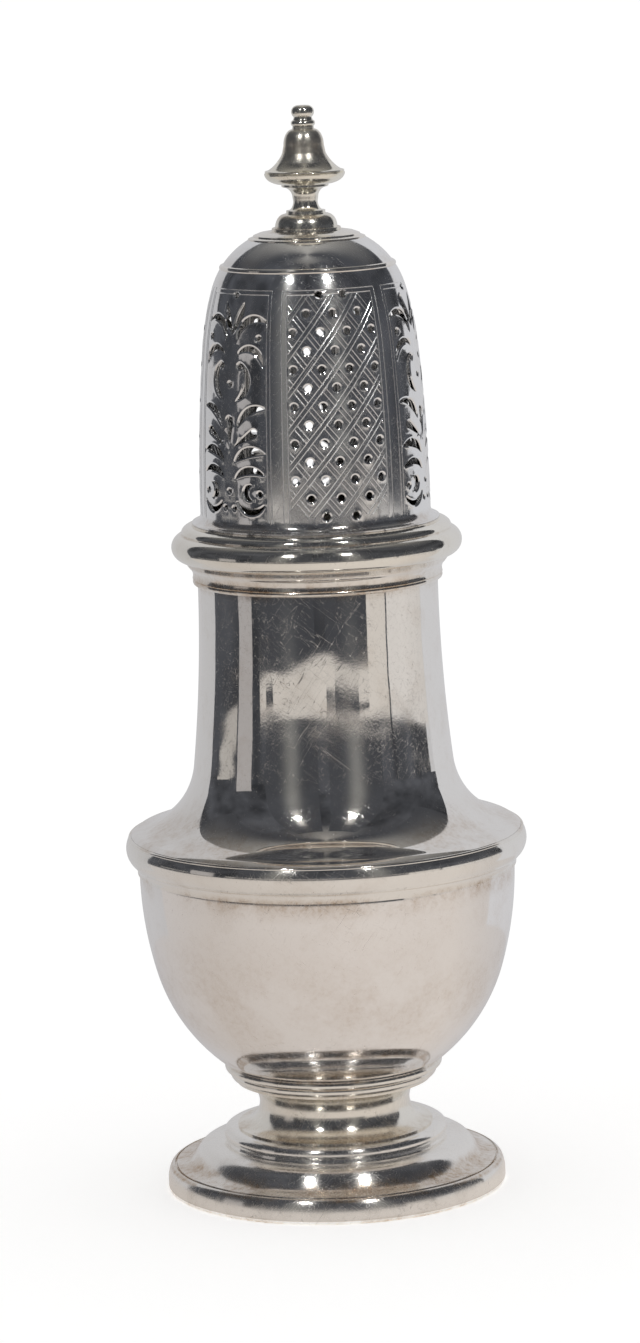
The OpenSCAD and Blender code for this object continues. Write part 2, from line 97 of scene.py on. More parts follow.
def silver(name, colour, roughness, stains=(), dents=0.35, brushed=0.8, matt=None):
    """Silver polished round its axis. A stain is the height, reach and strength of a band of brown tarnish,
    dents are tenths of a millimetre deep, and matt names the attribute that says where the silver is dull."""
    material = bpy.data.materials.new(name)
    material.use_nodes = True
    nodes, links = material.node_tree.nodes, material.node_tree.links
    shader = nodes["Principled BSDF"]
    shader.inputs["Metallic"].default_value = 1
    shader.inputs["Anisotropic"].default_value = brushed
    shader.inputs["Anisotropic Rotation"].default_value = 0.25
    place = nodes.new("ShaderNodeTexCoord").outputs["Object"]
    around = nodes.new("ShaderNodeVectorMath")
    around.operation = "CROSS_PRODUCT"
    around.inputs[0].default_value = (0, 0, 1)
    links.new(place, around.inputs[1])
    links.new(around.outputs["Vector"], shader.inputs["Tangent"])

    def noise(scale, detail, rough=0.6, start=place):
        texture = nodes.new("ShaderNodeTexNoise")
        texture.inputs["Scale"].default_value = scale
        texture.inputs["Detail"].default_value = detail
        texture.inputs["Roughness"].default_value = rough
        links.new(start, texture.inputs["Vector"])
        return texture.outputs["Fac"]

    def spread(value, low, high, new_low, new_high):
        node = nodes.new("ShaderNodeMapRange")
        node.interpolation_type = "SMOOTHSTEP"
        for socket, number in zip(("From Min", "From Max", "To Min", "To Max"), (low, high, new_low, new_high)):
            node.inputs[socket].default_value = number
        links.new(value, node.inputs["Value"])
        return node.outputs["Result"]

    def reckon(operation, first, second):
        node = nodes.new("ShaderNodeMath")
        node.operation = operation
        for value, socket in zip((first, second), node.inputs):
            if isinstance(value, (int, float)):
                socket.default_value = value
            else:
                links.new(value, socket)
        return node.outputs["Value"]

    # Brown tarnish: a thin smear all over, and patches in the bands where a cloth doesn't reach
    height = nodes.new("ShaderNodeSeparateXYZ")
    links.new(place, height.inputs["Vector"])
    smears = noise(170, 6)
    speckle = spread(noise(900, 5, 0.7), 0.42, 0.66, 0.5, 1)
    brown = reckon("MULTIPLY", spread(smears, 0.45, 0.72, 0, 0.16), speckle)
    patches = reckon("MULTIPLY", spread(noise(85, 8, 0.68), 0.38, 0.6, 0.08, 1), speckle)
    for level, reach, strength in stains:
        off = reckon("ABSOLUTE", reckon("SUBTRACT", height.outputs["Z"], level / 1000), 0)
        band = spread(off, 0, reach / 1000, strength, 0)
        brown = reckon("MAXIMUM", brown, reckon("MULTIPLY", band, patches))

    # Wear: the polish is uneven, with fine strokes of the cloth that lean to both sides
    worn = spread(smears, 0.3, 0.75, roughness * 0.75, roughness * 1.3)
    for leaning in (0.6, -0.9):
        stroke = nodes.new("ShaderNodeMapping")
        stroke.vector_type = "TEXTURE"
        stroke.inputs["Rotation"].default_value = (math.pi / 2, leaning, 0)
        stroke.inputs["Scale"].default_value = (1, 20, 1)
        links.new(place, stroke.inputs["Vector"])
        off = reckon("ABSOLUTE", reckon("SUBTRACT", noise(900, 2, 0.5, stroke.outputs["Vector"]), 0.5), 0)
        fine = spread(off, 0, 0.007, 1, 0)
        worn = reckon("ADD", worn, reckon("MULTIPLY", fine, 0.18))
        brown = reckon("ADD", brown, reckon("MULTIPLY", fine, 0.07))
    tone = nodes.new("ShaderNodeMix")
    tone.data_type = "RGBA"
    bright, tarnished, mixed = tone.inputs[6], tone.inputs[7], tone.outputs[2]
    bright.default_value = (*colour, 1)
    tarnished.default_value = (0.5, 0.36, 0.235, 1)
    links.new(brown, tone.inputs["Factor"])
    links.new(mixed, shader.inputs["Base Color"])
    if matt:
        dulled = nodes.new("ShaderNodeAttribute")
        dulled.attribute_name = matt
        worn = reckon("ADD", worn, reckon("MULTIPLY", dulled.outputs["Fac"], 0.3))
    links.new(reckon("ADD", worn, reckon("MULTIPLY", brown, 0.12)), shader.inputs["Roughness"])

    # Shallow dents of long use, and scratches as fine as hairs
    dent = nodes.new("ShaderNodeBump")
    dent.inputs["Strength"].default_value = 1
    dent.inputs["Distance"].default_value = dents / 10000
    links.new(noise(55, 2, 0.4), dent.inputs["Height"])
    scratch = nodes.new("ShaderNodeBump")
    scratch.inputs["Strength"].default_value = 0.1
    scratch.inputs["Distance"].default_value = 0.00001
    links.new(noise(2400, 3), scratch.inputs["Height"])
    links.new(dent.outputs["Normal"], scratch.inputs["Normal"])
    links.new(scratch.outputs["Normal"], shader.inputs["Normal"])
    return material


def fit(piece, material, body, node):
    """Gives a piece its finish and its body, and hides the solid that it stands for."""
    piece.data.materials.append(material)
    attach(piece, body)
    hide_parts(node)


foot_r, foot_low, foot_top = extent("foot_wire")
wire_w, wire_round, wire_in, wire_edge, groove = 2.6, 2.6, 1.15, 0.35, 0.4
foot_stains = [(0.2, 1, 0.7), (foot_top - 0.3, 0.5, 1), (4.8, 1.8, 1)]
foot_silver = silver("foot silver", (0.94, 0.92, 0.885), 0.17, foot_stains, brushed=0.9)
wire_outline = [(foot_r - wire_w, foot_low), (foot_r - 0.5, foot_low)]
wire_outline += arc(foot_r - wire_edge, foot_low + wire_edge, wire_edge, -90, 0)
for angle in range(0, 91, 5):
    a = math.radians(angle)
    inwards, downwards = wire_in * (1 - math.cos(a)), wire_round * (1 - math.sin(a))
    wire_outline.append((foot_r - inwards, foot_top - downwards))
wire_outline += [(foot_r - 1.2, foot_top - groove), (foot_r - 1.5, foot_top - groove)]
wire_outline += [(foot_r - 1.55, foot_top), (foot_r - wire_w, foot_top)]
fit(turn("foot_wire_ring", wire_outline, 0.4), foot_silver, "body", "foot_wire")


# Foot skirt
# The spun sheet of the foot: a sloping ledge inside the wire, a riser and a second ledge,
# then a rounded step whose edge is turned in for the spool.

skirt_r, skirt_low, step_top = extent("foot_skirt")
foot_sheet, step_r, step_bead, step_in_r = 0.9, 18.7, 1.15, 15.45
ledge, ledge_share, riser_r = step_top - 2 * step_bead, 0.35, step_r + 0.7
ogee = []
for i in range(61):
    along = i / 60
    rise = ledge_share * along + (1 - ledge_share) * along**4 / (along**4 + (1 - along) ** 4)
    ogee.append((skirt_r + (riser_r - skirt_r) * along, skirt_low + (ledge - skirt_low) * rise))
ogee = ogee[4:]
skirt_outline = [(skirt_r - 0.32, skirt_low), (skirt_r - 0.36, skirt_low + 0.12)]
skirt_outline += ogee + [(step_r - 0.15, ledge)]
skirt_outline += arc(step_r - step_bead, step_top - step_bead, step_bead, -40, 90)
skirt_outline += [(step_in_r, step_top), (step_in_r, step_top - foot_sheet)]
skirt_outline += [(step_r - 1.4, step_top - foot_sheet), (step_r - 1.4, ledge - 0.5)]
skirt_outline += [(r - 0.4, max(skirt_low, z - foot_sheet)) for r, z in reversed(ogee)]
fit(turn("foot_skirt_ogee", skirt_outline, 0.4), foot_silver, "body", "foot_skirt")


# Spool
# The coved stem between foot and bowl, spun from one tube of sheet silver and soldered at both ends;
# tarnish stays in its corners.

spool_r, spool_low, spool_top = extent("foot_spool")
spool_mid = (spool_low + spool_top) / 2
cove_r = spool_top - spool_mid - 0.3
spool_silver = silver("spool silver", (0.93, 0.9, 0.83), 0.15, [(spool_low, 1.6, 0.8), (spool_top, 1, 0.5)])
inner_half = math.degrees(math.asin((spool_top - spool_mid) / (cove_r + foot_sheet)))
spool_outline = [(spool_r, spool_low)] + arc(spool_r, spool_mid, cove_r, 270, 90) + [(spool_r, spool_top)]
spool_outline += arc(spool_r, spool_mid, cove_r + foot_sheet, 180 - inner_half, 180 + inner_half)
fit(turn("spool_cove", spool_outline, 0.4), spool_silver, "body", "foot_spool")


# Bowl collar
# A ring of two reeds that spreads the load of the bowl on the spool, cast and turned,
# with a dark line of old solder between the reeds.

_, collar_low, collar_top = extent("bowl_collar")
seat_r, collar_w, solder_line = 18, 2.8, 19.9
collar_stains = [(collar_top, 0.8, 0.7), (solder_line, 0.35, 0.8)]
collar_silver = silver("collar silver", (0.93, 0.905, 0.85), 0.15, collar_stains)
collar_outline = [(seat_r - collar_w, collar_low), (spool_r, collar_low)]
collar_outline += arc(seat_r - 1.65, collar_low + 1, 0.9, -60, 45)
collar_outline += arc(seat_r - 0.55, collar_top - 0.72, 0.72, -100, 60)
collar_outline += [(seat_r, collar_top), (seat_r - collar_w / 2, collar_top - 0.99)]
collar_outline += [(seat_r - collar_w, collar_low + 0.6)]
fit(turn("bowl_collar_reeds", collar_outline, 0.4), collar_silver, "body", "bowl_collar")


# Bowl
# Raised from one disc of sheet to a round bottom and a nearly upright lip, planished and polished;
# a veil of tarnish is left under the girdle, where a cloth doesn't reach.

bowl_r, bowl_low, seam = extent("bowl")
sheet, bowl_taper, bowl_rise = 0.8, 1.2, 8.6
round_r = bowl_r - bowl_taper
bowl_mid = bowl_low + round_r
side_r = (bowl_r**2 + bowl_rise**2 - round_r**2) / (2 * (bowl_r - round_r))
side_angle = -math.degrees(math.atan2(bowl_rise, side_r - bowl_r))
bowl_stains = [(54.5, 4.5, 0.8), (36, 16, 0.28), (22.5, 2.5, 0.6)]
bowl_silver = silver("bowl silver", (0.95, 0.93, 0.91), 0.09, bowl_stains, brushed=0.35)
bowl_outline = arc(0, bowl_mid, round_r, -90, side_angle)
bowl_outline += arc(bowl_r - side_r, bowl_mid + bowl_rise, side_r, side_angle, 0)
bowl_outline += [(bowl_r, seam), (bowl_r - sheet, seam)]
bowl_outline += arc(bowl_r - side_r, bowl_mid + bowl_rise, side_r - sheet, 0, side_angle)
bowl_outline += arc(0, bowl_mid, round_r - sheet, side_angle, -90)
bowl_outline = bowl_outline[::2] + [bowl_outline[-1]]
fit(turn("bowl_shell", bowl_outline, 0.8), bowl_silver, "body", "bowl")


# Girdle
# A moulded wire soldered round the widest part, over the seam of bowl and neck:
# a fine bead, a rounded edge and a small cove that runs down on to the bowl.

girdle_r, girdle_low, girdle_top = extent("girdle")
girdle_stains = [(girdle_low, 1.2, 0.85), (girdle_top, 0.5, 0.6)]
girdle_silver = silver("girdle silver", (0.93, 0.91, 0.87), 0.1, girdle_stains)
girdle_h, girdle_edge, bead_r, girdle_in_r, solder = 4.2, 0.75, 32.55, 32.42, 0.02
girdle_arc = (girdle_h**2 / 4 + girdle_edge**2) / (2 * girdle_edge)
girdle_half = math.degrees(math.atan2(girdle_h / 2, girdle_arc - girdle_edge))
girdle_mid = girdle_top - girdle_h / 2
girdle_outline = [(bowl_r + solder, girdle_low), (bowl_r + 0.3, girdle_low)]
girdle_outline += arc(bowl_r + 1.9, girdle_low + 0.3, 1.6, 180, 124)
girdle_outline += [(girdle_r - 1.1, girdle_top - girdle_h - 0.05)]
girdle_outline += arc(girdle_r - girdle_arc, girdle_mid, girdle_arc, -girdle_half, girdle_half - 9)
girdle_outline += arc(bead_r, girdle_top - 0.3, 0.3, -30, 90)
girdle_outline += [(girdle_in_r, girdle_top), (girdle_in_r, seam), (bowl_r + solder, seam)]
fit(turn("girdle_moulding", girdle_outline, 0.4), girdle_silver, "body", "girdle")


# Neck
# Raised from sheet, with a flare that sweeps up from the girdle into a slow curve to the mouth,
# soldered to the bowl behind the girdle and polished bright.

shoulder_r, _, mouth = extent("neck")
neck_r, neck_straight, neck_foot_r, flare_r, flare_end = 19.8, 3.7, 29.8, 12.5, 79
flare_mid_r = shoulder_r - 0.85 + flare_r * math.cos(math.radians(flare_end))
flare_mid_z = seam + 1.75 + flare_r * math.sin(math.radians(flare_end))
straight = mouth - neck_straight
flare_start = 2 * math.degrees(math.atan((flare_mid_r - neck_r - flare_r) / (straight - flare_mid_z)))
sweep = math.cos(math.radians(flare_start))
long_r = (flare_mid_r - flare_r * sweep - neck_r) / (1 - sweep)
neck_silver = silver("neck silver", (0.93, 0.915, 0.89), 0.035, [(102.6, 2, 0.9), (62, 6, 0.45)], 1.8, 0.4)
neck_outline = [(neck_foot_r, seam), (shoulder_r, seam), (shoulder_r, seam + 1.15)]
neck_outline += arc(flare_mid_r, flare_mid_z, flare_r, 180 + flare_end, 180 + flare_start)
neck_outline += arc(neck_r + long_r, straight, long_r, 180 + flare_start, 180)[2::3]
neck_outline += [(neck_r, straight), (neck_r, mouth), (neck_r - sheet, mouth), (neck_r - sheet, straight)]
neck_outline += arc(neck_r + long_r, straight, long_r + sheet, 180, 180 + flare_start)[2::3]
neck_outline += arc(flare_mid_r, flare_mid_z, flare_r + sheet, 180 + flare_start, 180 + flare_end - 4)
fit(turn("neck_shell", neck_outline, 0.8), neck_silver, "body", "neck")


# Mouth wire
# A moulded wire soldered round the mouth of the neck, hollowed on its face and flat on top,
# with a lip over the edge of the sheet for the cover to rest on.

mouth_r, mouth_low, seat = extent("mouth_wire")
mouth_stains = [(mouth_low + 0.8, 2.6, 0.9), (seat - 0.4, 1.2, 0.6)]
mouth_silver = silver("mouth silver", (0.93, 0.905, 0.86), 0.11, mouth_stains)
mouth_outline = [(neck_r + solder, mouth_low), (neck_r + 0.2, mouth_low)]
mouth_outline += arc(neck_r + 0.3, mouth_low + 0.5, 0.5, -60, 70)
mouth_outline += arc(neck_r + 2.35, mouth_low + 1.6, 1.62, 200, 128)
mouth_outline += [(mouth_r - 0.15, seat - 0.85)] + arc(mouth_r - 0.12, seat - 0.7, 0.12, -60, 0)
mouth_outline += [(mouth_r, seat - 0.1), (mouth_r - 0.1, seat), (neck_r - sheet, seat)]
mouth_outline += [(neck_r - sheet, mouth), (neck_r + solder, mouth)]
fit(turn("mouth_moulding", mouth_outline, 0.3), mouth_silver, "body", "mouth_wire")


# Bezel
# The plain sleeve of sheet silver under the cover that slips into the neck and keeps the cover on
# by friction; it is soldered inside the collar and bright where it rubs.

bezel_r, bezel_low, bezel_top = extent("bezel")
bezel_silver = silver("bezel silver", (0.92, 0.9, 0.86), 0.2)
bezel_sheet, bezel_edge = 0.7, 0.15
bezel_outline = [(bezel_r - bezel_sheet, bezel_low), (bezel_r - bezel_edge, bezel_low)]
bezel_outline += [(bezel_r, bezel_low + bezel_edge), (bezel_r, bezel_top), (bezel_r - bezel_sheet, bezel_top)]
fit(turn("bezel_sleeve", bezel_outline, 0.8), bezel_silver, "cover", "bezel")


# Cover collar
# The cast ring at the base of the cover: a full round, a fine line and a quarter round
# that carries the foot of the dome.

rim_r, rim_low, rim_top = extent("cover_collar")
rim_stains = [(rim_low, 0.7, 0.6), (rim_low + 4.5, 0.35, 0.7), (rim_top, 0.4, 0.6)]
rim_silver = silver("rim silver", (0.93, 0.905, 0.84), 0.1, rim_stains)
round_half, round_end, ledge_r = 2.2, 72, 20.5
round_r_mid, round_z_mid = rim_r - round_half, rim_low + round_half
line_r = round_r_mid + round_half * math.cos(math.radians(round_end))
rim_outline = [(bezel_r + solder, rim_low), (round_r_mid + 0.38, rim_low)]
rim_outline += arc(round_r_mid, round_z_mid, round_half, -75, round_end)
rim_outline += [(line_r - 0.1, rim_low + 4.38), (line_r - 0.1, rim_low + 4.55)]
for i in range(13):
    a = math.radians(90 * i / 12)
    rim_outline += [(ledge_r + (line_r - 0.2 - ledge_r) * math.cos(a), rim_low + 4.6 + 1.2 * math.sin(a))]
rim_outline += [(ledge_r, rim_top), (bezel_r - bezel_sheet, rim_top)]
rim_outline += [(bezel_r - bezel_sheet, bezel_top), (bezel_r + solder, bezel_top)]
fit(turn("cover_rim", rim_outline, 0.4), rim_silver, "cover", "cover_collar")


# Pierced dome
# Raised from sheet with six panels sawn out by hand in turn, a lattice of holes and a spray of leaves,
# each framed by cut double lines. One third is drawn flat as a net of triangles and wrapped round,
# because cut lines and rims this fine don't come from an operator.

foot_of_dome_r, dome_low, dome_top = extent("pierced_dome")
dome_r, cove, wall = 18.95, 1.4, 0.8
drum_h, drum_lean, shoulder_h, shoulder_lean, crown_h = 27, 5.43, 9.6, 16.1, 9.7
flat_r, third_start, front_lattice, spray_middle = 18.6, -31, -77, 60
drum_low = dome_low + 0.25 + cove
drum_arc = drum_h / math.sin(math.radians(drum_lean))
shoulder_arc = shoulder_h / (math.sin(math.radians(shoulder_lean)) - math.sin(math.radians(drum_lean)))
crown_arc = crown_h / (1 - math.sin(math.radians(shoulder_lean)))
shoulder_mid_r = dome_r - drum_arc + (drum_arc - shoulder_arc) * math.cos(math.radians(drum_lean))
shoulder_mid_z = drum_low + (drum_arc - shoulder_arc) * math.sin(math.radians(drum_lean))
crown_mid_r = shoulder_mid_r + (shoulder_arc - crown_arc) * math.cos(math.radians(shoulder_lean))
crown_mid_z = shoulder_mid_z + (shoulder_arc - crown_arc) * math.sin(math.radians(shoulder_lean))
crown_end = math.degrees(math.asin((dome_top - crown_mid_z) / crown_arc))

# The section of the dome as one run of points, with its length from the foot up
section = [(foot_of_dome_r, dome_low + 0.02)] + arc(foot_of_dome_r, drum_low, cove, 270, 180)
cove_points = len(section)
section += arc(dome_r - drum_arc, drum_low, drum_arc, 0, drum_lean)[1:]
section += arc(shoulder_mid_r, shoulder_mid_z, shoulder_arc, drum_lean, shoulder_lean)[1:]
section += arc(crown_mid_r, crown_mid_z, crown_arc, shoulder_lean, crown_end)[1:]
section = np.array(section)
section_run = np.concatenate([[0], np.cumsum(np.linalg.norm(np.diff(section, axis=0), axis=1))])
slope = np.gradient(section, section_run, axis=0)
outward = np.stack([slope[:, 1], -slope[:, 0]], axis=1)


def run_at(height):
    """Length along the section at a height above the collar."""
    return float(np.interp(dome_low + height, section[cove_points:, 1], section_run[cove_points:]))


def drawn(points, angle, height, mirrored=False, turned=0):
    """Places an outline drawn flat on the net, at an angle and a height above the collar."""
    radius = float(np.interp(run_at(height), section_run, section[:, 0]))
    c, s = math.cos(math.radians(turned)), math.sin(math.radians(turned))
    placed = []
    for x, y in points:
        x, y = x * c - y * s, x * s + y * c
        x = -x if mirrored else x
        placed.append((math.radians(angle) * flat_r + x * flat_r / radius, run_at(height + y)))
    return placed[::-1] if mirrored else placed


def bow(half, rise):
    """Arc over a chord, from its left end to its right end."""
    radius = (half**2 + rise**2) / (2 * rise)
    reach = math.atan2(half, radius - rise)
    steps = max(6, round(2 * reach * radius / 0.26))
    angles = [-reach + 2 * reach * i / steps for i in range(steps + 1)]
    return [(radius * math.sin(a), rise - radius + radius * math.cos(a)) for a in angles]


def leaf(length, rise, hollow):
    """Crescent leaf: its chord, and how far its two sides rise over it."""
    return bow(length / 2, hollow) + bow(length / 2, rise)[-2:0:-1]


def lens(length, above, below):
    """Leaf that swells on both sides of its chord."""
    return [(x, -y) for x, y in bow(length / 2, below)] + bow(length / 2, above)[-2:0:-1]


def drop(length, head_r):
    """Round head with a point below it."""
    touch = math.degrees(math.asin(head_r / (length - head_r)))
    head = arc(0, 0, head_r, -touch, 180 + touch)
    tip = (0, head_r - length)
    side = [(head[0][0] * k, tip[1] + (head[0][1] - tip[1]) * k) for k in (0.25, 0.5, 0.75)]
    return head + [(-x, y) for x, y in reversed(side)] + [tip] + side


def eye(width):
    """Round hole."""
    angles = [math.tau * i / 24 for i in range(24)]
    return [(width / 2 * math.cos(a), width / 2 * math.sin(a)) for a in angles]


# Holes of the lattice: rows of four and three, and two in the first and the last row
holes, cuts = [], []
lattice_hole, lattice_low, lattice_pitch, lattice_step, lattice_rows = 1.2, 2.75, 2.96, 14.8, 13
for row in range(lattice_rows):
    count = 3 if row % 2 else 2 if row in (0, lattice_rows - 1) else 4
    for i in range(count):
        angle = (i - (count - 1) / 2) * lattice_step
        holes.append(drawn(eye(lattice_hole), angle, lattice_low + row * lattice_pitch))

# The spray of leaves, from the top down: angle from its stem, height, outline and turn, on both sides
spray = [
    (14, 32.45, leaf(6.3, 2.55, 1.4), 25.8),
    (18.5, 31.45, eye(0.9), 0),
    (13.2, 27.95, leaf(5.2, 2.3, 1.3), -20.3),
    (6.7, 26.95, eye(1), 0),
    (5.9, 24.5, leaf(6.3, 2.4, 1.2), -96),
    (14.4, 18.7, leaf(6.15, 1.72, 0.57), 30),
    (15.8, 16.3, drop(5.4, 0.65), -60),
    (12.9, 12.2, leaf(6.1, 1.75, 0.25), 14),
    (12.9, 9.15, leaf(5.7, 1.63, 0.5), 6),
    (14.5, 6.6, leaf(2.5, 1.8, 0.8), 90),
    (18.9, 6.45, eye(0.9), 0),
    (13.6, 4.95, leaf(5.3, 2, 1.1), 177),
    (3.2, 3.95, eye(0.8), 0),
    (3.4, 34.5, lens(5.4, 0.3, 0.75), 66),
]
for angle, height, shape, turned in spray:
    holes.append(drawn(shape, spray_middle + angle, height, False, turned))
    holes.append(drawn(shape, spray_middle - angle, height, True, turned))
for height, shape in ((38.2, eye(0.9)), (24, eye(0.85)), (18.1, drop(5.2, 0.75)), (6.7, eye(0.8))):
    holes.append(drawn(shape, spray_middle, height))

# Frames of the panels, one inside the other, open at the foot of the dome
frame_foot, frame_head, inner_head, lattice_half = 1.75, 39, 38.3, 25.75
for middle, outer, inner in ((0, 28.6, lattice_half), (spray_middle, 25.3, 23.3)):
    for half, head in ((outer, run_at(frame_head)), (inner, run_at(inner_head))):
        side, base = math.radians(half) * flat_r, run_at(frame_foot)
        corners = [(side, base), (side, head), (-side, head), (-side, base)]
        shift = math.radians(middle) * flat_r
        cuts += [((x0 + shift, y0), (x1 + shift, y1)) for (x0, y0), (x1, y1) in zip(corners, corners[1:])]

# Double lines of the trellis between the holes; those to the left stop short of those to the right
half_step = math.radians(lattice_step / 2) * flat_r
trellis_side, trellis_head = math.radians(24.4) * flat_r, 38.2
line_apart, stop_short = 0.2, 0.27


def trellis_point(rising, falling):
    """Angle and height where two lines of the trellis cross."""
    return half_step * (rising + falling) / 2, lattice_low + lattice_pitch * (falling - rising) / 2


def trim(first, last):
    """The part of a trellis line inside its frame, on the net, or None."""
    low, high = 0, 1
    for axis, least, most in ((0, -trellis_side, trellis_side), (1, lattice_low, trellis_head)):
        change = last[axis] - first[axis]
        bounds = sorted(((least - first[axis]) / change, (most - first[axis]) / change))
        low, high = max(low, bounds[0]), min(high, bounds[1])
    if high - low < 0.02:
        return None
    ends = [(first[0] + (last[0] - first[0]) * k, first[1] + (last[1] - first[1]) * k) for k in (low, high)]
    return tuple((x, run_at(z)) for x, z in ends)


for band in range(-16, 17, 2):
    for line in (band - line_apart, band + line_apart):
        cuts.append(trim(trellis_point(line, -30), trellis_point(line, 30)))
for band in range(-4, 31, 2):
    for line in (band - line_apart, band + line_apart):
        for gap in range(-32, 32, 2):
            start, end = gap + stop_short, gap + 2 - stop_short
            cuts.append(trim(trellis_point(start, line), trellis_point(end, line)))
cuts = [cut for cut in cuts if cut]


def away(points, lines):
    """Distance from each point to the nearest of the lines."""
    nearest = np.full(len(points), 1e9)
    for first, last in lines:
        first, along = np.array(first), np.subtract(last, first)
        share = np.clip((points - first) @ along / (along @ along), 0, 1)
        nearest = np.minimum(nearest, np.linalg.norm(points - first - share[:, None] * along, axis=1))
    return nearest


# The net: the edges of the piercings and cuts, points beside them, and a plain grid between
edges = [(a, b) for hole in holes for a, b in zip(hole, hole[1:] + hole[:1])]
cut_half, cut_depth, rim_width, rim_crest, panels_top = 0.11, 0.05, 0.38, 0.26, 40
net, ties, rings = [], [], []
for hole in holes:
    rings.append(list(range(len(net), len(net) + len(hole))))
    net += hole
for first, last in cuts:
    length = math.dist(first, last)
    along = ((last[0] - first[0]) / length, (last[1] - first[1]) / length)
    steps = max(1, round(length / 0.8))
    for side in (-cut_half, 0, cut_half):
        start = len(net)
        for i in range(steps + 1):
            k = length * i / steps
            net.append((first[0] + along[0] * k - along[1] * side, first[1] + along[1] * k + along[0] * side))
        ties += [(start + i, start + i + 1) for i in range(steps)]
beside = []
for hole in holes:
    for i, (x, y) in enumerate(hole):
        before, after = hole[i - 1], hole[(i + 1) % len(hole)]
        across = Vector((after[1] - before[1], before[0] - after[0])).normalized()
        for side in (-1, 1):
            for gap in (rim_crest, rim_width):
                beside.append((x + side * gap * across[0], y + side * gap * across[1], gap))
beside = np.array(beside)
clear = (away(beside[:, :2], edges) > beside[:, 2] * 0.93) & (away(beside[:, :2], cuts) > 0.2)
net += [tuple(p) for p in beside[clear, :2]]
rows = np.concatenate([
    section_run[:cove_points],
    np.linspace(section_run[cove_points - 1], run_at(panels_top), 48)[1:],
    np.linspace(run_at(panels_top), section_run[-1], 30)[1:],
])
columns = np.radians(np.linspace(third_start, third_start + 120, 49)) * flat_r
grid = np.array([(x, y) for y in rows for x in columns])
border = (grid[:, 0] == columns[0]) | (grid[:, 0] == columns[-1])
clear = border | ((away(grid, edges) > rim_width + 0.15) & (away(grid, cuts) > cut_half + 0.2))
net += [tuple(p) for p in grid[clear]]
flat, _, triangles, _, _, owners = delaunay_2d_cdt([Vector(p) for p in net], ties, rings, 0, 1e-5)
kept = [triangle for triangle, owner in zip(triangles, owners) if not owner]
flat = np.array(flat)

# Cut lines sink in and the rims of the piercings are bevelled, then the net is wrapped on the section
edge_away, cut_away = away(flat, edges), away(flat, cuts)
relief = -cut_depth * np.clip(1 - cut_away / cut_half, 0, 1)
relief += np.interp(edge_away, [0, rim_crest, rim_width], [-0.12, 0.02, 0])
run_radius = np.interp(flat[:, 1], section_run, section[:, 0])
run_height = np.interp(flat[:, 1], section_run, section[:, 1])
run_radius += relief * np.interp(flat[:, 1], section_run, outward[:, 0])
run_height += relief * np.interp(flat[:, 1], section_run, outward[:, 1])
azimuth = flat[:, 0] / flat_r + math.radians(front_lattice)
wrapped = np.stack([run_radius * np.cos(azimuth), run_radius * np.sin(azimuth), run_height], axis=1) / 1000
dome_mesh = bpy.data.meshes.new("pierced_cover")
dome_mesh.from_pydata(wrapped.tolist(), [], kept)

# Where the graver has dulled the silver: the cut lines, and a little the ground of the lattice
panel = np.abs(flat[:, 0]) < math.radians(lattice_half) * flat_r
panel &= (flat[:, 1] > run_at(frame_foot)) & (flat[:, 1] < run_at(inner_head)) & (edge_away > 0.2)
engraved = np.where(cut_away < cut_half * 0.9, 1, np.where(panel, 0.15, 0)).astype(np.float32)
dome_mesh.attributes.new("engraved", "FLOAT", "POINT").data.foreach_set("value", engraved)

# Three thirds make the dome, which then gets its wall inwards
dome = bpy.data.objects.new("pierced_cover", dome_mesh)
bpy.context.collection.objects.link(dome)
bpy.ops.object.select_all(action="DESELECT")
dome.select_set(True)
bpy.context.view_layer.objects.active = dome
bpy.ops.object.mode_set(mode="EDIT")
bpy.ops.mesh.select_all(action="SELECT")
bpy.ops.mesh.delete_loose(use_verts=True, use_edges=True, use_faces=False)
bpy.ops.mesh.select_all(action="SELECT")
for _ in range(2):
    bpy.ops.mesh.duplicate()
    bpy.ops.transform.rotate(value=math.tau / 3, orient_axis="Z", center_override=(0, 0, 0))
bpy.ops.mesh.select_all(action="SELECT")
bpy.ops.mesh.remove_doubles(threshold=2e-6)
bpy.ops.mesh.normals_make_consistent(inside=False)
bpy.ops.object.mode_set(mode="OBJECT")
thicken = dome.modifiers.new("wall", "SOLIDIFY")
thicken.thickness = wall / 1000
thicken.offset = -1
bpy.ops.object.modifier_apply(modifier=thicken.name)
bpy.ops.object.shade_smooth_by_angle(angle=math.radians(20))
dome_stains = [(dome_low + 0.8, 1.2, 0.5), (155, 1.5, 0.3)]
dome_silver = silver("dome silver", (0.92, 0.925, 0.925), 0.1, dome_stains, 0.12, 0.6, "engraved")
fit(dome, dome_silver, "cover", "pierced_dome")


# Reed of the dome
# A half-round wire of silver, bent to a ring and soldered round the shoulder of the dome,
# above the panels.

_, reed_low, _ = extent("dome_reed")
reed_up, reed_r, sunk = 3.7, 0.5, 0.2
reed_z = shoulder_mid_z + shoulder_arc * math.sin(math.radians(shoulder_lean)) + reed_up
reed_angle = math.asin((reed_z - crown_mid_z) / crown_arc)
reed_mid = (crown_mid_r + crown_arc * math.cos(reed_angle), reed_z)
reed_silver = silver("reed silver", (0.93, 0.905, 0.86), 0.12, [(reed_low, 0.4, 0.6)])
reed_out = math.degrees(reed_angle)
reed_sunk = (reed_mid[0] - sunk * math.cos(reed_angle), reed_mid[1] - sunk * math.sin(reed_angle))
reed_outline = arc(*reed_sunk, reed_r, reed_out - 100, reed_out + 100)
fit(turn("dome_reed_wire", reed_outline, 0.3), reed_silver, "cover", "dome_reed")


# Crown plate
# The disc of silver that closes the dome, turned with two fine steps and a low swell up to the finial,
# and soldered over the open top of the dome.

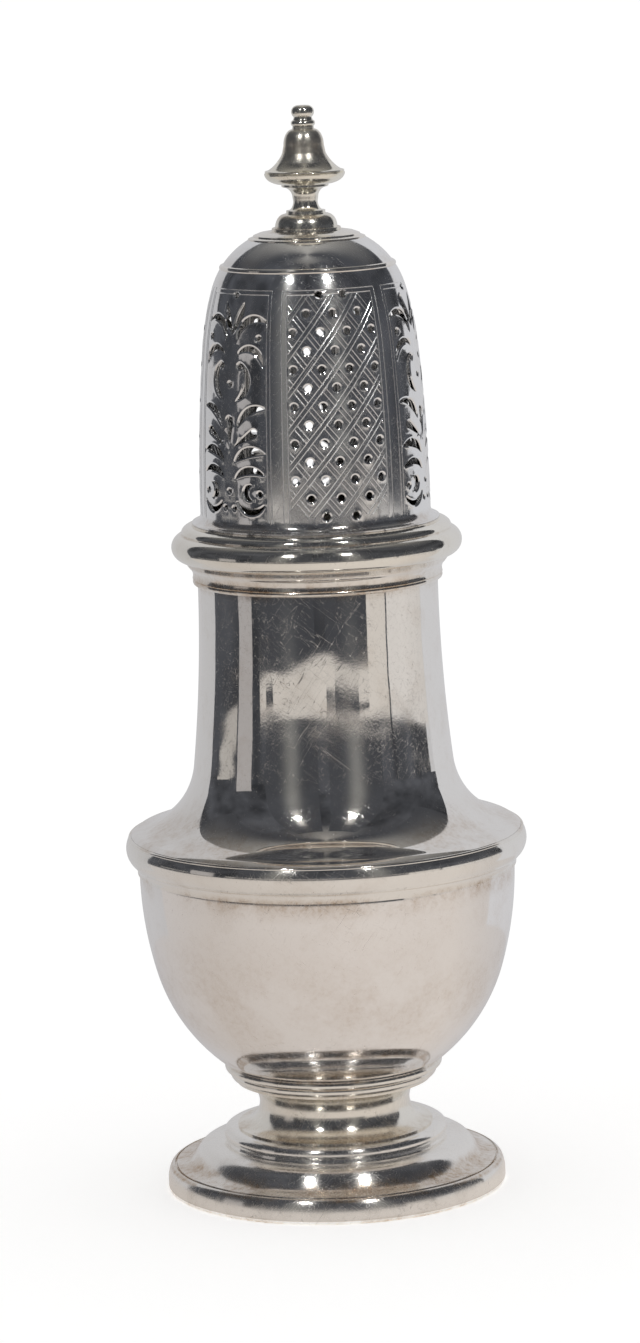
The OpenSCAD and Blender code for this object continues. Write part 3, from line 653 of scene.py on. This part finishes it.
plate_r, plate_low, plate_top = extent("crown_plate")
peg_hole = 1.22
plate_stains = [(plate_low, 0.4, 0.6), (plate_top, 0.35, 0.7)]
plate_silver = silver("plate silver", (0.93, 0.9, 0.84), 0.14, plate_stains)
plate_outline = [(peg_hole, plate_low), (plate_r, plate_low)]
plate_outline += arc(plate_r - 0.15, plate_low + 0.1, 0.15, 0, 70)
plate_outline += [(plate_r - 0.85, plate_low + 0.5), (plate_r - 0.87, plate_low + 0.7)]
plate_outline += [(plate_r - 1.05, plate_low + 0.78), (plate_r - 1.9, plate_low + 1.1)]
plate_outline += [(6.15, plate_top - 0.05), (5.85, plate_top), (peg_hole, plate_top)]
fit(turn("crown_disc", plate_outline, 0.4, 128), plate_silver, "cover", "crown_plate")


# Finial pedestal
# The waisted foot of the finial, cast and turned: a ring, a rounded tier, a fillet and a cove,
# pegged through the crown plate.

base_r, peg_low, peg_high = extent("finial_pedestal")
peg_r, peg_l, stem_r, flare = 1.2, 2.2, 2, 1.75
pedestal_low, pedestal_top, stem_top_r = plate_top, peg_high - peg_l, stem_r + 1.85
pedestal_h = pedestal_top - pedestal_low
ring_h, tier_h, fillet_h, stem_h = [pedestal_h * share for share in (0.06, 0.3, 0.07, 0.2)]
fillet_r, fillet_top = stem_r + 1.2, pedestal_low + ring_h + tier_h + fillet_h
finial_stains = [(pedestal_low + 0.4, 0.5, 0.8), (162, 0.8, 0.6)]
finial_silver = silver("finial silver", (0.93, 0.905, 0.825), 0.2, finial_stains, brushed=0.4)
pedestal_outline = [(0, peg_low), (peg_r, peg_low), (peg_r, pedestal_low), (base_r, pedestal_low)]
pedestal_outline += arc(base_r - 0.2, pedestal_low + ring_h - 0.2, 0.2, 0, 80)
for angle in range(0, 85, 8):
    a = math.radians(angle)
    tier_r = fillet_r + 0.15 + (base_r - 0.55 - fillet_r - 0.15) * math.cos(a)
    pedestal_outline += [(tier_r, pedestal_low + ring_h + tier_h * math.sin(a))]
pedestal_outline += [(fillet_r, fillet_top - fillet_h), (fillet_r, fillet_top)]
for angle in range(270, 175, -10):
    a = math.radians(angle)
    pedestal_outline += [(stem_r + 1 + math.cos(a), fillet_top + stem_h * (1 + math.sin(a)))]
pedestal_outline += arc(stem_top_r, pedestal_top - 0.4 - flare, flare, 180, 95)
pedestal_outline += [(stem_top_r, pedestal_top - 0.3), (stem_top_r, pedestal_top), (peg_r, pedestal_top)]
pedestal_outline += [(peg_r, peg_high), (0, peg_high)]
fit(turn("finial_foot", pedestal_outline, 0.3, 128), finial_silver, "cover", "finial_pedestal")


# Finial bell
# The bell with its wide flange, by which the cover is lifted: cast in silver, turned and pegged
# to the pedestal. Its side is dull from handling and its flange is bright.

bell_r, bell_low, bell_top = extent("finial_bell")
dish = 2
flange = bell_low + dish
under_wide, edge, peg_deep, pin_hole = 3, 0.15, peg_l + solder, 0.86
cove_wide, cove_high, cove_full, bell_neck_r, top_wide, top_high = 2.7, 3, 1.5, 1.75, 1.55, 2.65
bell_outline = [(peg_hole, bell_low), (bell_r - under_wide, bell_low)]
for angle in range(-84, 1, 7):
    a = math.radians(angle)
    bell_outline.append((bell_r - under_wide * (1 - math.cos(a)), flange - edge + (dish - edge) * math.sin(a)))
bell_outline += [(bell_r - 0.2, flange - 0.05)] + arc(bell_r - 0.25, flange + 0.12, edge, -60, 80)
for angle in range(5, 91, 5):
    a = math.radians(angle)
    inwards, upwards = cove_wide * math.sin(a) ** cove_full, cove_high * (1 - math.cos(a) ** cove_full)
    bell_outline.append((bell_r - 0.4 - inwards, flange + 0.3 + upwards))
for angle in range(0, 86, 5):
    a = math.radians(angle)
    bell_outline.append((bell_neck_r + top_wide * math.cos(a), flange + 4.3 + top_high * math.sin(a)))
bell_outline += [(bell_neck_r, bell_top - 0.22), (bell_neck_r, bell_top), (pin_hole, bell_top)]
bell_outline += [(pin_hole, bell_top - peg_deep), (0, bell_top - peg_deep)]
bell_outline += [(0, bell_low + peg_deep), (peg_hole, bell_low + peg_deep)]
bell = turn("finial_bell_flanged", bell_outline, 0.3, 128)
handled, dull = flange + 1.6, 0.45
satin = [dull if point.co.z > handled / 1000 else 0 for point in bell.data.vertices]
bell.data.attributes.new("satin", "FLOAT", "POINT").data.foreach_set("value", satin)
bell_stains = [(flange + 4, 3, 0.4)]
bell_silver = silver("bell silver", (0.925, 0.89, 0.79), 0.15, bell_stains, brushed=0.4, matt="satin")
fit(bell, bell_silver, "cover", "finial_bell")


# Finial button
# The ring and button at the tip, turned from silver in one with the pin that holds them in the bell,
# where it is soldered.

button_r, pin_low, tip = extent("finial_button")
pin_r, head_r = 0.84, 1.08
button_outline = [(0, pin_low), (pin_r, pin_low), (pin_r, bell_top), (button_r - 0.25, bell_top)]
button_outline += arc(button_r - 0.55, bell_top + 0.6, 0.55, -60, 70)
button_outline += [(button_r - 0.5, bell_top + 1.45), (button_r - 0.5, bell_top + 1.8)]
button_outline += arc(button_r - 1.2, tip - head_r, head_r, -48, 90) + [(0, tip)]
fit(turn("finial_tip", button_outline, 0.25, 96), finial_silver, "cover", "finial_button")


# Studio
# White paper under the caster and pale light round it, a dark room in front, and two lamps there whose small
# bright images run down every moulding.
# The cards are glowing sheets seen by reflections alone: the lit paper, boards and dark room, and painted haze
# and glow round each lamp.

world = bpy.data.worlds.new("studio")
bpy.context.scene.world = world
world.use_nodes = True
background = world.node_tree.nodes["Background"]
background.inputs["Color"].default_value = (1, 0.995, 0.99, 1)
seen = world.node_tree.nodes.new("ShaderNodeMapRange")
seen.inputs["To Min"].default_value, seen.inputs["To Max"].default_value = 0.66, 1


def looked_at(tree, socket):
    """Sends 1 to a socket for rays from the camera, from metal and through glass, else 0."""
    rays = tree.nodes.new("ShaderNodeLightPath")
    total = rays.outputs["Is Camera Ray"]
    for kind in ("Is Glossy Ray", "Is Transmission Ray"):
        either = tree.nodes.new("ShaderNodeMath")
        either.operation = "MAXIMUM"
        tree.links.new(total, either.inputs[0])
        tree.links.new(rays.outputs[kind], either.inputs[1])
        total = either.outputs["Value"]
    tree.links.new(total, socket)


looked_at(world.node_tree, seen.inputs["Value"])
world.node_tree.links.new(seen.outputs["Result"], background.inputs["Strength"])
bpy.ops.object.select_all(action="DESELECT")
bpy.ops.mesh.primitive_plane_add(size=30, location=(0, 0, 0))
floor = bpy.context.object
floor.name = "floor"
paper = bpy.data.materials.new("white paper")
paper.use_nodes = True
sheet_of_paper = paper.node_tree.nodes["Principled BSDF"]
sheet_of_paper.inputs["Base Color"].default_value = (0.93, 0.93, 0.93, 1)
sheet_of_paper.inputs["Roughness"].default_value = 0.9
sheet_of_paper.inputs["Specular IOR Level"].default_value = 0
sheet_of_paper.inputs["Emission Color"].default_value = (1, 1, 1, 1)
lift = paper.node_tree.nodes.new("ShaderNodeMath")
lift.operation = "MULTIPLY"
lift.inputs[1].default_value = 0.42
looked_at(paper.node_tree, lift.inputs[0])
paper.node_tree.links.new(lift.outputs["Value"], sheet_of_paper.inputs["Emission Strength"])
floor.data.materials.append(paper)


def card(name, colour, outline, left, right, last=None, droop=0, about=0, cloudy=0.1, edge=None, peak=2):
    """A card swept round the caster, angles rightwards from the front; its colour may run to a last one,
    or fade to another at its edges, the steeper the greater its peak. Droop lowers it away from an angle,
    and cloudy is how uneven it is."""
    count, wide = max(24, round((right - left) / 4)), len(outline)
    points, tones, faces = [], [], []
    for i in range(count + 1):
        angle = left + (right - left) * i / count
        a = math.radians(angle)
        tone = [c + (d - c) * i / count for c, d in zip(colour, last or colour)]
        fall = 1 - droop * ((angle - about) / 80) ** 2
        for j, (r, z) in enumerate(outline):
            points.append((r * math.sin(a), -r * math.cos(a), z * fall))
            middle = math.sin(math.pi * i / count) ** peak * math.sin(math.pi * j / (wide - 1))
            tones += [d + (c - d) * middle for c, d in zip(tone, edge)] if edge else tone
            tones.append(1)
    for i in range(count):
        for j in range(wide - 1):
            corner = i * wide + j
            faces.append((corner, corner + 1, corner + wide + 1, corner + wide))
    shape = bpy.data.meshes.new(name)
    shape.from_pydata(points, [], faces)
    shape.attributes.new("glow", "FLOAT_COLOR", "POINT").data.foreach_set("color", tones)
    sheet_of_card = bpy.data.objects.new(name, shape)
    bpy.context.collection.objects.link(sheet_of_card)
    paint = bpy.data.materials.new(name)
    paint.use_nodes = True
    nodes, links = paint.node_tree.nodes, paint.node_tree.links
    nodes.clear()
    shine = nodes.new("ShaderNodeEmission")
    tint = nodes.new("ShaderNodeAttribute")
    tint.attribute_name = "glow"
    links.new(tint.outputs["Color"], shine.inputs["Color"])
    clouds = nodes.new("ShaderNodeTexNoise")
    clouds.inputs["Scale"].default_value = 1.6
    links.new(nodes.new("ShaderNodeTexCoord").outputs["Object"], clouds.inputs["Vector"])
    uneven = nodes.new("ShaderNodeMapRange")
    for socket, number in zip(("From Min", "From Max", "To Min", "To Max"), (0.3, 0.7, 1 - cloudy, 1 + cloudy)):
        uneven.inputs[socket].default_value = number
    links.new(clouds.outputs["Fac"], uneven.inputs["Value"])
    links.new(uneven.outputs["Result"], shine.inputs["Strength"])
    result = nodes.new("ShaderNodeOutputMaterial")
    links.new(shine.outputs["Emission"], result.inputs["Surface"])
    shape.materials.append(paint)
    sheet_of_card.visible_camera = sheet_of_card.visible_diffuse = sheet_of_card.visible_shadow = False


def vault(radius, start, end):
    """Outline of a round room or ceiling between two angles of elevation."""
    rises = [math.radians(e) for e in range(start, end + 1, 5)]
    return [(radius * math.cos(e), radius * math.sin(e)) for e in rises]


def upright(radius, low, high):
    """Outline of a card that stands upright."""
    return [(radius, low), (radius, high)]


dark, pale, white = (0.06, 0.0625, 0.0705), (0.6, 0.56, 0.52), (0.54, 0.54, 0.565)
white_left, white_right = (0.555, 0.512, 0.48), (0.68, 0.63, 0.59)
room, overhead = vault(2, 0, 90), vault(1.94, 65, 145)
card("dark room", dark, room, -180, 180, cloudy=0.5)
card("grey ceiling", (0.4, 0.385, 0.36), overhead, -90, 90, edge=dark)
board_right, board_left = (0.67, 0.67, 0.69), (0.53, 0.525, 0.535)
card("pale board behind", board_right, upright(0.15, 0, 0.31), 108, 248, board_left, droop=0.9, about=178)
near, far = [(0.02, 0.0006), (0.5, 0.0006)], [(0.5, 0.0006), (2, 0.0006)]
card("paper in front", white_left, near, -75, 75, white_right)
card("paper to the left", white, near, -180, -75, white_left)
card("paper to the right", white_right, near, 75, 180, white)
card("dark table", dark, far, -126, 108, cloudy=0.5)
card("paper behind", (0.57, 0.57, 0.585), far, 108, 234)
bank_r, gap_r, bank_droop = 0.52, 0.51, 0.24
card("pale bank", pale, upright(bank_r, 0.052, 0.0715), -58, 64.5, droop=bank_droop)
card("pale bank, right", pale, upright(bank_r, 0, 0.052), 45, 64.5, droop=bank_droop)
card("pale bank, far right", (0.65, 0.62, 0.595), upright(bank_r, 0, 0.0715), 66, 112, droop=bank_droop)
card("pale bank, far left", (0.44, 0.415, 0.39), upright(bank_r, 0.046, 0.058), -106, -83)
card("gap in the bank", dark, upright(gap_r, 0.06, 0.0655), 4, 44, droop=bank_droop)
card("gap in the bank, middle", dark, upright(gap_r, 0.0575, 0.068), 12, 34, droop=bank_droop)
card("gap in the bank, left", dark, upright(gap_r, 0.0575, 0.0665), -52, -45, droop=bank_droop)
card("white bar", (0.4, 0.38, 0.375), upright(0.7, 0, 0.2), -82, -66)
# Painted highlights: a soft streak of haze and a halo of glow round each lamp, in place of the glow that fine
# scratches spread round its image
haze = [(r, 0.0008) for r in (0.55, 0.8, 1.1, 1.5, 1.75)] + [(r * 0.9, z * 0.9) for r, z in room[:16]]
glow = [(r * 0.88, z * 0.88) for r, z in room[8:14]]
lamp_angle, lamp_rise, lamp_away = 29, 52, 1.4
for side, angle in (("left", -lamp_angle), ("right", lamp_angle)):
    card(side + " haze", (0.22, 0.218, 0.21), haze, angle - 24, angle + 24, edge=dark, peak=9)
    card(side + " glow", (0.8, 0.785, 0.74), glow, angle - 6, angle + 6, edge=(0.2, 0.198, 0.19))
for side, angle in (("left", -lamp_angle), ("right", lamp_angle)):
    a, e = math.radians(angle), math.radians(lamp_rise)
    towards = Vector((math.sin(a) * math.cos(e), -math.cos(a) * math.cos(e), math.sin(e)))
    bpy.ops.object.light_add(type="AREA", location=towards * lamp_away)
    lamp = bpy.context.object
    lamp.name = side + " lamp"
    lamp.data.shape = "DISK"
    lamp.data.size = 0.11
    lamp.data.energy = 2.4
    lamp.visible_diffuse = False
    lamp.rotation_euler = towards.to_track_quat("Z", "Y").to_euler()


# Camera
# A long lens from more than four heights away and a little above the cover, held so that the caster
# leans left.

bpy.ops.object.camera_add(location=(-0.00013, -0.82, 0.2225))
camera = bpy.context.object
camera.data.lens, camera.data.sensor_width = 134.7, 36
tilted, leaning = math.radians(9.403), math.radians(-1.87)
held = Matrix.Rotation(math.pi / 2 - tilted, 4, "X") @ Matrix.Rotation(leaning, 4, "Z")
camera.rotation_euler = held.to_euler()
bpy.context.scene.camera = camera
